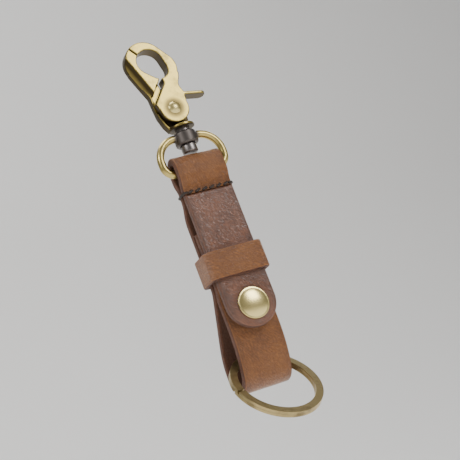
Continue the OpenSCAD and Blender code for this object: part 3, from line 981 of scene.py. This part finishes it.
@dataclass
class Keeper:
    """The leather band round the strap's layers."""

    plan: Plan
    thick: float = 1.8
    height: float = 10.8
    loose: float = 0.3
    corner_r: float = 1.7
    gap: float = 0.12
    bow: float = 0.10
    edge_r: float = 0.6
    pattern_start: float = 80.0
    stitch_half: float = 1.6
    stitch_lift: float = 0.30

    def build(self) -> None:
        """Makes the band with its butt joint at the back, and the two stitches across it."""
        p = self.plan
        x = p.strap_w / 2 + self.loose + self.thick / 2
        front = p.front_face - self.loose - self.thick / 2
        back = p.back_y + p.leather_t / 2 + self.loose + self.thick / 2
        middle = (p.keeper_top + p.keeper_bottom) / 2
        r = self.corner_r
        outline: list[tuple[float, float, float]] = []

        def line(x0: float, y0: float, x1: float, y1: float, turn: float, count: int) -> None:
            """Adds places on a straight side that faces one way."""
            for k in range(count + 1):
                outline.append((x0 + (x1 - x0) * k / count, y0 + (y1 - y0) * k / count, turn))

        def corner(cx: float, cy: float, start: float) -> None:
            """Adds places on a rounded corner."""
            for k in range(1, 8):
                a = start + 90 * k / 8
                outline.append((cx + r * math.cos(math.radians(a)), cy + r * math.sin(math.radians(a)), a))

        line(self.gap / 2, back, x - r, back, 90, 10)
        outline.reverse()
        spots = outline[:]
        outline.clear()
        line(-self.gap / 2, back, -x + r, back, 90, 10)
        corner(-x + r, back - r, 90)
        line(-x, back - r, -x, front + r, 180, 8)
        corner(-x + r, front + r, 180)
        line(-x + r, front, x - r, front, 270, 16)
        corner(x - r, front + r, 270)
        line(x, front + r, x, back - r, 360, 8)
        corner(x - r, back - r, 360)
        outline.extend((px, py, 450) for px, py, _ in spots)
        stations: list[Station] = []
        along = 0.0
        for i, (px, py, a) in enumerate(outline):
            if i:
                along += math.hypot(px - outline[i - 1][0], py - outline[i - 1][1])
            out = Vector((math.cos(math.radians(a)), math.sin(math.radians(a)), 0))
            bulge = self.bow * math.sin(math.pi * (px + x) / (2 * x)) if 181 < a < 359 else 0.0
            at = p.placed(px, py, middle) + out * bulge
            stations.append(Station(at, Vector((0, 0, 1)), out, along + self.pattern_start))
        bm = MeshShop.sweep(stations, strap_section(self.height, self.thick, self.edge_r, faces=8))
        band = MeshShop.finish(bm, "keeper_band", Soft.TAN.value.make(), "keeper")
        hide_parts("keeper")
        sewing = Stitching(p)
        whole = bmesh.new()
        for row in (-1, 1):
            a = p.placed(-self.stitch_half, back + self.thick / 2, middle + row * self.height / 4)
            b = p.placed(self.stitch_half, back + self.thick / 2, middle + row * self.height / 4)
            Stitching.join(whole, sewing.thread(sewing.stitch(a, b, Vector((0, 1, 0)), self.stitch_lift)))
        made = MeshShop.finish(whole, "keeper_thread", Soft.THREAD.value.make(), "keeper")
        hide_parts("keeper_stitches")


@dataclass
class SnapCap:
    """The press-stud's domed cap."""

    plan: Plan
    radius: float = 6.1
    post_r: float = 1.7
    roll_r: float = 0.28
    inset: float = 0.75
    rise: float = 0.85

    def build(self) -> None:
        """Spins the cap with its rolled rim and shallow dome."""
        p = self.plan
        profile: list[tuple[float, float]] = [(self.post_r, -0.05), (self.radius - 0.4, -0.02)]
        for k in range(9):
            a = math.radians(-80 + 170 * k / 8)
            radius = self.radius - self.roll_r + self.roll_r * math.cos(a)
            profile.append((radius, self.roll_r + self.roll_r * math.sin(a)))
        inner = self.radius - self.inset
        profile.append((inner + 0.25, 0.56))
        for k in range(15):
            t = k / 14
            radius = inner * (1 - t)
            profile.append((radius, 0.62 + self.rise * (1 - (radius / inner) ** 2) ** 0.85))
        bm = MeshShop.lathe(profile, p.placed(p.snap_x, p.front_face, p.snap_z), Vector((0, -1, 0)))
        cap = MeshShop.finish(bm, "snap_cap_dome", Metal.CAP.value.make(), "tongue")
        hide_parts("snap_cap")


@dataclass
class Metalwork:
    """The metal pieces whose own shape stays, with softened edges and their finishes."""

    softened: dict[str, tuple[float, int]] = field(default_factory=lambda: {
        "hook_body": (0.12, 34), "hook_gate": (0.12, 34), "dring": (0.14, 4),
    })
    bevelled: dict[str, float] = field(default_factory=lambda: {"swivel_stud": 0.2, "key_ring": 0.3})
    finishes: dict[str, Metal] = field(default_factory=lambda: {
        "hook_body": Metal.HOOK, "hook_gate": Metal.GATE, "gate_rivet": Metal.RIVET,
        "gate_spring": Metal.SPRING, "swivel_stud": Metal.GUN, "dring": Metal.WIRE,
        "snap_cap": Metal.CAP, "snap_socket": Metal.BRASS, "snap_spring": Metal.SPRING,
        "snap_stud": Metal.BRASS, "snap_post": Metal.BRASS, "key_ring": Metal.RING,
    })

    @staticmethod
    def soften(piece: bpy.types.Object, grain: float, passes: int) -> None:
        """Rounds a casting's edges all over, as tumbling does.

        Args:
            piece: The casting.
            grain: The size of its new faces, in millimetres.
            passes: How far it is smoothed.
        """
        skin = piece.modifiers.new("skin", "REMESH")
        skin.mode = "VOXEL"
        skin.voxel_size = grain * MM
        skin.use_smooth_shade = True
        tumble = piece.modifiers.new("tumbled", "SMOOTH")
        tumble.factor = 0.5
        tumble.iterations = passes

    @staticmethod
    def bevel(piece: bpy.types.Object, width: float) -> None:
        """Rounds a turned or stamped piece's edges.

        Args:
            piece: The piece.
            width: The bevel's width, in millimetres.
        """
        weld = piece.modifiers.new("weld", "WELD")
        weld.merge_threshold = 1e-6
        soft = piece.modifiers.new("soft_edges", "BEVEL")
        soft.width = width * MM
        soft.segments = 3
        soft.limit_method = "ANGLE"
        soft.angle_limit = math.radians(38)
        soft.use_clamp_overlap = True

    def build(self) -> None:
        """Dresses each piece."""
        made: dict[Metal, bpy.types.Material] = {}
        for node, metal in self.finishes.items():
            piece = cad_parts[node]
            if metal not in made:
                made[metal] = metal.value.make()
            for slot in piece.material_slots:
                slot.material = made[metal]
            if node in self.softened:
                self.soften(piece, *self.softened[node])
            if node in self.bevelled:
                self.bevel(piece, self.bevelled[node])
            LOG.info("metal %s: %s", node, metal.name)


@dataclass
class Studio:
    """The pale stage, the soft lights and the camera."""

    aim: Vector = field(default_factory=lambda: Vector((0.0037, 0.0, -0.0648)))
    azimuth: float = -25.042
    elevation: float = -13.994
    roll: float = 21.032
    distance: float = 0.46288
    lens: float = 97.48
    shift: tuple[float, float] = (0.0319, -0.0309)
    floor_z: float = -0.21
    half_width: float = 3.0
    floor_front: float = -2.0
    cove_start: float = 0.7
    cove_r: float = 0.5
    wall_top: float = 3.0

    def build_stage(self) -> None:
        """Makes the floor and the backdrop as one sweep."""
        bm = bmesh.new()
        r = self.cove_r
        turns = [math.radians(a) for a in range(10, 91, 10)]
        profile = [(self.floor_front, 0.0), (self.cove_start, 0.0)]
        profile += [(self.cove_start + r * math.sin(a), r - r * math.cos(a)) for a in turns]
        profile.append((self.cove_start + r, self.wall_top))
        verts = [bm.verts.new((-self.half_width, y, self.floor_z + z)) for y, z in profile]
        edges = [bm.edges.new(pair) for pair in zip(verts, verts[1:])]
        made = bmesh.ops.extrude_edge_only(bm, edges=edges)["geom"]
        far = [g for g in made if isinstance(g, bmesh.types.BMVert)]
        bmesh.ops.translate(bm, verts=far, vec=Vector((2 * self.half_width, 0, 0)))
        floor = MeshShop.finish(bm, "floor", PaperFinish("pale_paper", (0.82, 0.81, 0.79)).make())

    def build_light(self, name: str, at: Sequence[float], size: float, power: float) -> None:
        """Adds a soft light that faces the keychain.

        Args:
            name: The light's name.
            at: Its place, in metres.
            size: The side of its square.
            power: Its power.
        """
        data = bpy.data.lights.new(name, "AREA")
        data.size = size
        data.energy = power
        light = bpy.data.objects.new(name, data)
        light.location = Vector(at)
        light.rotation_euler = (self.aim - Vector(at)).to_track_quat("-Z", "Y").to_euler()
        bpy.context.scene.collection.objects.link(light)

    def build_lights(self) -> None:
        """Adds the lights and the pale surroundings."""
        self.build_light("key", (0.40, -0.72, 0.30), 0.36, 3.5)
        self.build_light("side", (-0.75, -0.40, 0.50), 0.25, 3.8)
        self.build_light("top", (0.1, 0.1, 0.9), 0.6, 6.0)
        self.build_light("back", (0.5, 0.6, 0.3), 0.5, 3.0)
        self.build_light("wall", (0.0, 0.35, 1.6), 1.2, 22.0)
        world = bpy.data.worlds.new("studio")
        world.use_nodes = True
        back = world.node_tree.nodes["Background"]
        back.inputs["Color"].default_value = (0.90, 0.91, 0.93, 1.0)
        back.inputs["Strength"].default_value = 0.27
        bpy.context.scene.world = world

    def build_camera(self) -> None:
        """Sets the camera at its angle, turned about its own axis by the roll."""
        a, e, t = (math.radians(v) for v in (self.azimuth, self.elevation, self.roll))
        right = Vector((math.cos(a), math.sin(a), 0))
        back = Vector((math.sin(a) * math.cos(e), -math.cos(a) * math.cos(e), math.sin(e)))
        up = back.cross(right)
        turned_right = right * math.cos(t) - up * math.sin(t)
        turned_up = right * math.sin(t) + up * math.cos(t)
        data = bpy.data.cameras.new("camera")
        data.sensor_width = 36.0
        data.lens = self.lens
        data.shift_x, data.shift_y = self.shift
        data.clip_start = 0.01
        camera = bpy.data.objects.new("camera", data)
        turn = Matrix((turned_right, turned_up, back)).transposed().to_4x4()
        camera.matrix_world = Matrix.Translation(self.aim + back * self.distance) @ turn
        bpy.context.scene.collection.objects.link(camera)
        bpy.context.scene.camera = camera

    def build(self) -> None:
        """Makes the stage, the lights and the camera."""
        self.build_stage()
        self.build_lights()
        self.build_camera()


def main() -> None:
    """Builds the keychain's pieces, dresses them and sets up the studio."""
    logging.basicConfig(level=logging.INFO, format="%(name)s: %(message)s")
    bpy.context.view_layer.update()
    plan = Plan()
    for part in (Metalwork(), Strap(plan), Stitching(plan), Keeper(plan), SnapCap(plan), Studio()):
        part.build()
        LOG.info("built %s", type(part).__name__)


if __name__ == "__main__":
    main()
